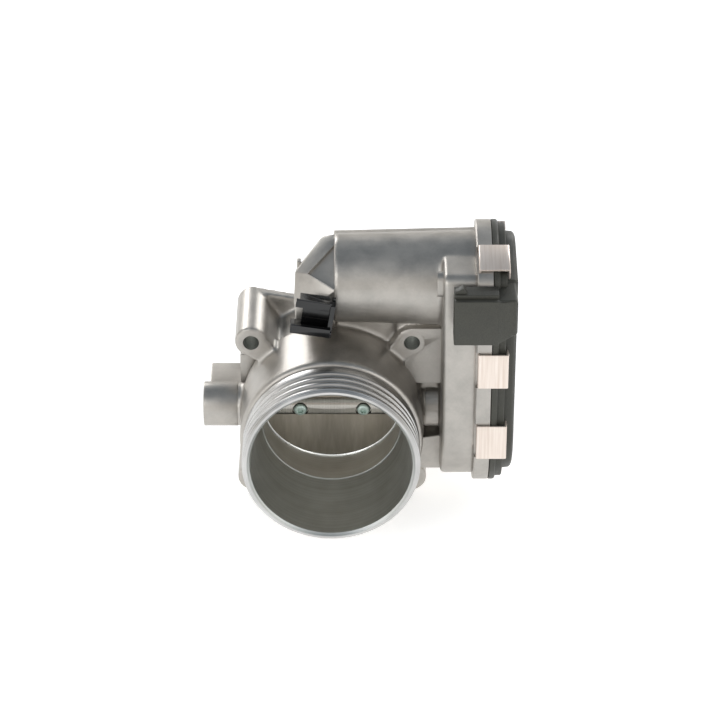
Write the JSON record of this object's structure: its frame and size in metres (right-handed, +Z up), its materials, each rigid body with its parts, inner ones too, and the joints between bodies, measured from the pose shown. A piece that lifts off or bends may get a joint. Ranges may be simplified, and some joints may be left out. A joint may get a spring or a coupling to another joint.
{
  "type": "electronic throttle body",
  "caption": "Motor-driven air throttle: cast body with a grooved hose spigot, a pivoting butterfly plate, geared motor, clipped side cover and wiring socket.",
  "frame": {"origin": "bottom centre of the whole assembly's box, with the object as it stands in the view: motor barrel on top", "axes": "+Z up; the air bore runs along Y with its hose mouth at -Y and its manifold flange at +Y; the throttle shaft, gears and motor run along X with the gear cover at +X"},
  "size_m": [0.1268, 0.077, 0.1222],
  "materials": {
    "cast_aluminium": "as-cast die-cast aluminium, machined spigot",
    "shaft_steel": "ground steel",
    "plate_alloy": "stamped and turned plate",
    "zinc_steel": "zinc plated steel",
    "bearing_steel": "drawn steel",
    "spring_steel": "spring wire",
    "clip_steel": "bright stainless spring strip",
    "motor_steel": "drawn can",
    "brass": "contacts and pinion",
    "rubber": "moulded seal",
    "gear_plastic": "natural moulded gear",
    "cover_plastic": "grey glass-filled moulding",
    "black_plastic": "moulded",
    "clip_plastic": "shiny black moulding",
    "magnet": "bonded magnet",
    "board": "printed circuit board"
  },
  "bodies": {
    "housing": {"throttle_housing": "cast_aluminium", "gear_cover": "cover_plastic", "cover_seal": "rubber", "hose_clip": "clip_plastic", "shaft_bearing_far": "bearing_steel", "shaft_bearing_drive": "bearing_steel", "shaft_seal_far": "rubber", "shaft_seal_drive": "rubber", "shaft_plug": "bearing_steel", "spring_bush": "gear_plastic", "return_spring": "spring_steel", "idler_pin": "bearing_steel", "motor_can": "motor_steel", "motor_brush_plate": "black_plastic", "motor_plate": "zinc_steel", "motor_screw_1": "zinc_steel", "motor_screw_2": "zinc_steel", "motor_wave_washer": "spring_steel", "sensor_board": "board", "motor_contact_1": "brass", "motor_contact_2": "brass", "connector_pin_1": "brass", "connector_pin_2": "brass", "connector_pin_3": "brass", "connector_pin_4": "brass", "connector_pin_5": "brass", "connector_pin_6": "brass", "cover_clip_1": "clip_steel", "cover_clip_2": "clip_steel", "cover_clip_3": "clip_steel", "cover_clip_4": "clip_steel", "cover_clip_5": "clip_steel"},
    "throttle": {"throttle_shaft": "shaft_steel", "throttle_plate": "plate_alloy", "plate_screw_1": "zinc_steel", "plate_screw_2": "zinc_steel", "throttle_gear": "gear_plastic", "sensor_magnet_1": "magnet", "sensor_magnet_2": "magnet"},
    "idler": {"idler_gear": "gear_plastic"},
    "rotor": {"motor_pinion": "brass", "motor_armature": "shaft_steel"}
  },
  "joints": [
    {"name": "throttle_hinge", "type": "hinge", "parent": "housing", "child": "throttle", "pos_m": [-0.0106, 0.0095, 0.0393], "axis": [1, 0, 0], "range_deg": [-10, 75], "stiffness_Nm_per_rad": 0.2, "deforming": ["return_spring"]},
    {"name": "idler_hinge", "type": "hinge", "parent": "housing", "child": "idler", "pos_m": [-0.0106, 0.0095, 0.06896], "axis": [1, 0, 0], "range_deg": [-275, 40]},
    {"name": "rotor_hinge", "type": "hinge", "parent": "housing", "child": "rotor", "pos_m": [-0.0106, 0.0105, 0.0986], "axis": [1, 0, 0], "range_deg": [-160, 1170]}
  ],
  "couplings": [
    {"joint": "idler_hinge", "follows": "throttle_hinge", "ratio": -3.625},
    {"joint": "rotor_hinge", "follows": "throttle_hinge", "ratio": 15.536}
  ]
}
